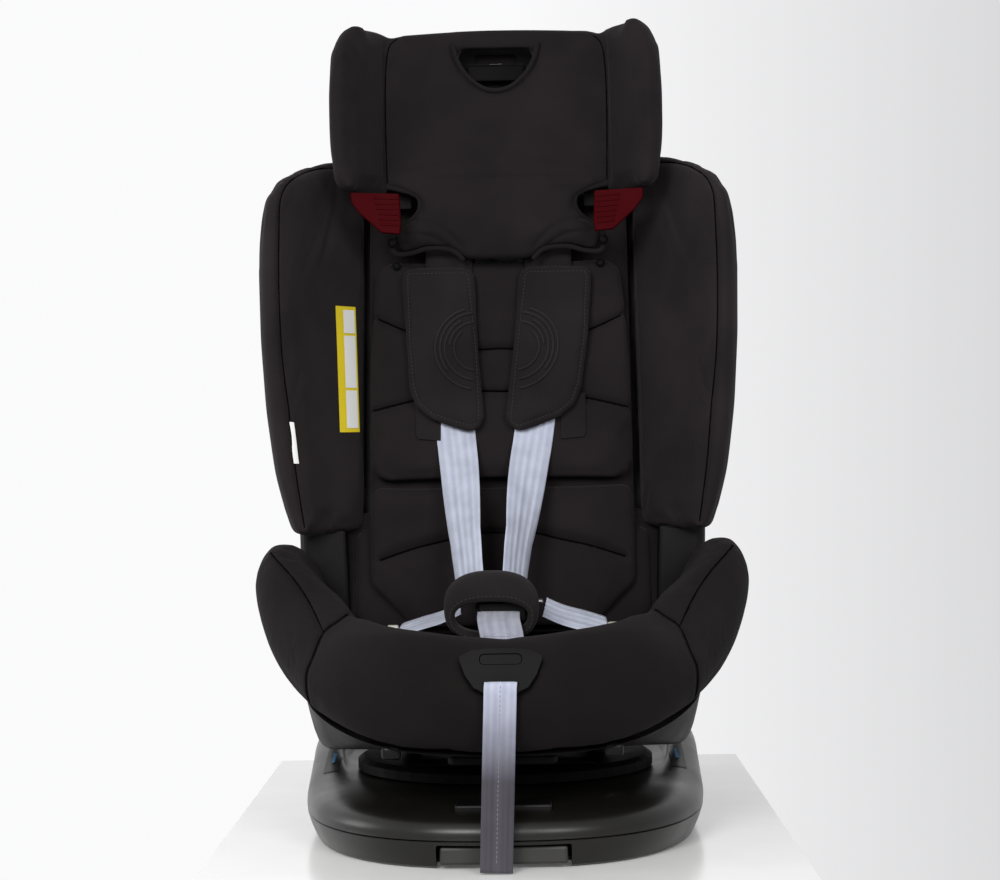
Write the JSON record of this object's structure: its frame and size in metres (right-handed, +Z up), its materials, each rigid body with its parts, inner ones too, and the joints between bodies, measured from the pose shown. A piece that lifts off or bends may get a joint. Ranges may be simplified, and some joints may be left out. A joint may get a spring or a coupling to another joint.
{
  "type": "convertible car seat",
  "caption": "Padded child car seat with harness and sliding headrest, on a swivelling, reclining mount over a base with extending latch arms.",
  "frame": {"origin": "on the surface that the base stands on, on the swivel axis", "axes": "+Z up, -Y the side that the child faces when the seat faces forward, +X to the right seen from the front"},
  "size_m": [0.455, 0.6193, 0.756],
  "materials": {
    "base_plastic": "satin charcoal moulded plastic",
    "shell_plastic": "fine-textured charcoal moulded plastic",
    "gloss_plastic": "polished near-black plastic",
    "grey_plastic": "light grey moulded plastic",
    "red_plastic": "dark red moulded plastic",
    "steel": "plated steel",
    "fabric": "warm near-black knitted cover fabric over foam",
    "pad_fabric": "near-black padded fabric",
    "webbing": "pale lilac-grey harness webbing",
    "adjuster_webbing": "grey-lilac adjuster webbing"
  },
  "bodies": {
    "base": {"base_tray": "base_plastic", "base_cover": "base_plastic", "turntable_bearing": "steel", "isofix_guide": "shell_plastic"},
    "isofix_arms": {"isofix_frame": "steel", "isofix_housing_l": "base_plastic", "isofix_housing_r": "base_plastic"},
    "isofix_hook_left": {"isofix_hook_l": "steel"},
    "isofix_hook_right": {"isofix_hook_r": "steel"},
    "isofix_slider_left": {"isofix_slider_l": "grey_plastic"},
    "isofix_slider_right": {"isofix_slider_r": "grey_plastic"},
    "isofix_release": {"isofix_release_handle": "grey_plastic"},
    "rotation_release": {"rotation_button": "gloss_plastic"},
    "rotation_lock": {"rotation_lock_pin": "steel"},
    "swivel": {"turntable": "shell_plastic", "recline_bracket": "steel"},
    "seat": {"seat_shell": "shell_plastic", "front_bolster": "fabric", "side_wing_l": "fabric", "side_wing_r": "fabric", "seat_cushion": "fabric", "side_trim_l": "gloss_plastic", "side_trim_r": "gloss_plastic", "recline_runner_l": "shell_plastic", "recline_runner_r": "shell_plastic", "front_guide_rod": "steel", "rear_guide_rod": "steel", "back_wing_l": "fabric", "back_wing_r": "fabric", "back_cushion": "fabric", "back_shell": "shell_plastic", "back_cover": "shell_plastic", "insert_upper": "fabric", "insert_lower": "fabric", "shoulder_strap_l": "webbing", "shoulder_strap_r": "webbing", "hip_strap_l": "webbing", "hip_strap_r": "webbing", "buckle_tongue_l": "steel", "buckle_tongue_r": "steel", "harness_yoke": "steel", "buckle_body": "gloss_plastic", "crotch_strap": "webbing", "crotch_pad": "pad_fabric", "adjuster_bezel": "gloss_plastic", "adjuster_strap": "adjuster_webbing"},
    "recline_handle": {"recline_lever": "gloss_plastic"},
    "buckle_release": {"buckle_button": "red_plastic"},
    "adjuster": {"adjuster_lever": "gloss_plastic"},
    "headrest": {"headrest_wing_l": "fabric", "headrest_wing_r": "fabric", "headrest_cushion": "fabric", "headrest_shell": "shell_plastic", "headrest_carrier": "steel", "belt_guide_l": "red_plastic", "belt_guide_r": "red_plastic", "shoulder_pad_l": "pad_fabric", "shoulder_pad_r": "pad_fabric"},
    "headrest_release": {"headrest_handle": "gloss_plastic", "headrest_lock_link": "steel"}
  },
  "joints": [
    {"name": "seat_swivel", "type": "hinge", "parent": "base", "child": "swivel", "pos_m": [0, 0, 0.0505], "axis": [0, 0, 1], "continuous": true, "deforming": ["adjuster_strap"]},
    {"name": "seat_recline", "type": "hinge", "parent": "swivel", "child": "seat", "pos_m": [0, 0.02, 0.42], "axis": [-1, 0, 0], "range_deg": [0, 15]},
    {"name": "headrest_height", "type": "slide", "parent": "seat", "child": "headrest", "axis": [0, 0.2149, 0.9766], "range_m": [-0.055, 0.1], "deforming": ["shoulder_strap_l", "shoulder_strap_r"]},
    {"name": "headrest_handle_pull", "type": "slide", "parent": "headrest", "child": "headrest_release", "axis": [0, 0.2149, 0.9766], "range_m": [0, 0.006], "stiffness_N_per_m": 1500},
    {"name": "recline_lever_pull", "type": "slide", "parent": "seat", "child": "recline_handle", "axis": [0, -1, 0], "range_m": [0, 0.012], "stiffness_N_per_m": 1500},
    {"name": "buckle_button_press", "type": "slide", "parent": "seat", "child": "buckle_release", "axis": [0, 0, -1], "range_m": [0, 0.003], "stiffness_N_per_m": 2500},
    {"name": "adjuster_lever_press", "type": "slide", "parent": "seat", "child": "adjuster", "axis": [0, 0.8729, -0.4879], "range_m": [0, 0.003], "stiffness_N_per_m": 1500},
    {"name": "rotation_button_press", "type": "slide", "parent": "base", "child": "rotation_release", "axis": [0, 0, -1], "range_m": [0, 0.004], "stiffness_N_per_m": 2500},
    {"name": "rotation_lock_drop", "type": "slide", "parent": "base", "child": "rotation_lock", "axis": [0, 0, -1], "range_m": [0, 0.006]},
    {"name": "isofix_extend", "type": "slide", "parent": "base", "child": "isofix_arms", "axis": [0, 1, 0], "range_m": [0, 0.12]},
    {"name": "isofix_release_pull", "type": "slide", "parent": "base", "child": "isofix_release", "axis": [0, -1, 0], "range_m": [0, 0.015], "stiffness_N_per_m": 1500},
    {"name": "isofix_slider_left_pull", "type": "slide", "parent": "isofix_arms", "child": "isofix_slider_left", "axis": [0, -1, 0], "range_m": [0, 0.006]},
    {"name": "isofix_slider_right_pull", "type": "slide", "parent": "isofix_arms", "child": "isofix_slider_right", "axis": [0, -1, 0], "range_m": [0, 0.006]},
    {"name": "isofix_hook_left_turn", "type": "hinge", "parent": "isofix_arms", "child": "isofix_hook_left", "pos_m": [-0.14, 0.287, 0.0345], "axis": [1, 0, 0], "range_deg": [-35, 0]},
    {"name": "isofix_hook_right_turn", "type": "hinge", "parent": "isofix_arms", "child": "isofix_hook_right", "pos_m": [0.14, 0.287, 0.0345], "axis": [1, 0, 0], "range_deg": [-35, 0]}
  ],
  "couplings": [
    {"joint": "rotation_lock_drop", "follows": "rotation_button_press", "ratio": 1.5},
    {"joint": "isofix_hook_left_turn", "follows": "isofix_slider_left_pull", "rad_per_m": -100},
    {"joint": "isofix_hook_right_turn", "follows": "isofix_slider_right_pull", "rad_per_m": -100}
  ]
}
